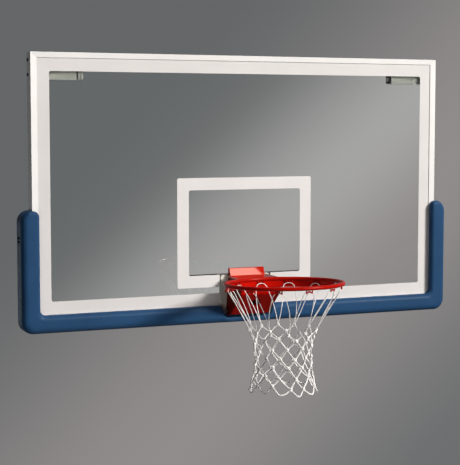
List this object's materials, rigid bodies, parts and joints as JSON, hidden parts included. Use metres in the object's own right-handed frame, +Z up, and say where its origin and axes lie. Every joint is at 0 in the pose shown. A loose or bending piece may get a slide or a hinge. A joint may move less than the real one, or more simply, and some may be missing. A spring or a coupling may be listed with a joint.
{
  "type": "basketball backboard",
  "caption": "Rectangular glass basketball backboard in a white frame with a blue edge pad, a red breakaway ring and a white cord net.",
  "frame": {"origin": "centre of the four rear mounting holes, in the plane of the brackets' rear faces", "axes": "+Z up, +X to the right seen from the court, -Y towards the court (the front of the board)"},
  "size_m": [1.93, 0.6889, 1.3509],
  "materials": {
    "glass": "clear tempered glass",
    "white_print": "fired white enamel",
    "white_frame": "white powder coat",
    "alloy": "mill finish",
    "dark_steel": "black oxide",
    "black_rubber": "black rubber",
    "bracket_paint": "grey-green paint",
    "black_plastic": "moulded",
    "zinc_steel": "zinc plated",
    "grey_paint": "light grey paint",
    "dark_paint": "dark grey paint",
    "red_paint": "gloss red-orange powder coat",
    "spring_steel": "oiled spring steel",
    "blue_foam": "moulded blue urethane skin",
    "bronze": "sintered bronze",
    "white_cord": "braided white cord"
  },
  "bodies": {
    "board": {"glass_panel": "glass", "border_print": "white_print", "target_print": "white_print", "frame_top_rail": "white_frame", "frame_bottom_rail": "white_frame", "frame_left_rail": "white_frame", "frame_right_rail": "white_frame", "corner_keys": "alloy", "frame_screws": "dark_steel", "glazing_gasket": "black_rubber", "upper_left_bracket": "bracket_paint", "upper_right_bracket": "bracket_paint", "lower_left_bracket": "bracket_paint", "lower_right_bracket": "bracket_paint", "bracket_end_plugs": "black_plastic", "bracket_end_bolts": "bracket_paint", "goal_mount_plate": "grey_paint", "goal_support_channel": "dark_paint", "goal_support_posts": "dark_paint", "post_bolts": "zinc_steel", "goal_isolator_bushes": "black_rubber", "goal_isolator_pad": "black_rubber", "goal_back_plate": "red_paint", "goal_bolts": "dark_steel", "goal_washers": "zinc_steel", "goal_nuts": "zinc_steel", "goal_hood": "red_paint", "hinge_pin": "zinc_steel", "pin_clips": "dark_steel", "spring_rod": "zinc_steel", "spring_washer": "zinc_steel", "spring_nut": "zinc_steel", "stop_bumpers": "black_rubber", "compression_spring": "spring_steel", "safety_pad": "blue_foam", "pad_screws": "dark_steel"},
    "ring": {"ring_rod": "red_paint", "ring_band": "red_paint", "ring_deck": "red_paint", "left_side_plate": "red_paint", "right_side_plate": "red_paint", "front_cover": "red_paint", "rear_flange": "red_paint", "hinge_bushes": "bronze", "net_clips": "red_paint", "net": "white_cord"}
  },
  "joints": [
    {"name": "ring_breakaway", "type": "hinge", "parent": "board", "child": "ring", "pos_m": [0, -0.087, -0.50655], "axis": [1, 0, 0], "range_deg": [0, 25], "stiffness_Nm_per_rad": 260, "springref_deg": -34.38, "deforming": ["compression_spring"]}
  ]
}
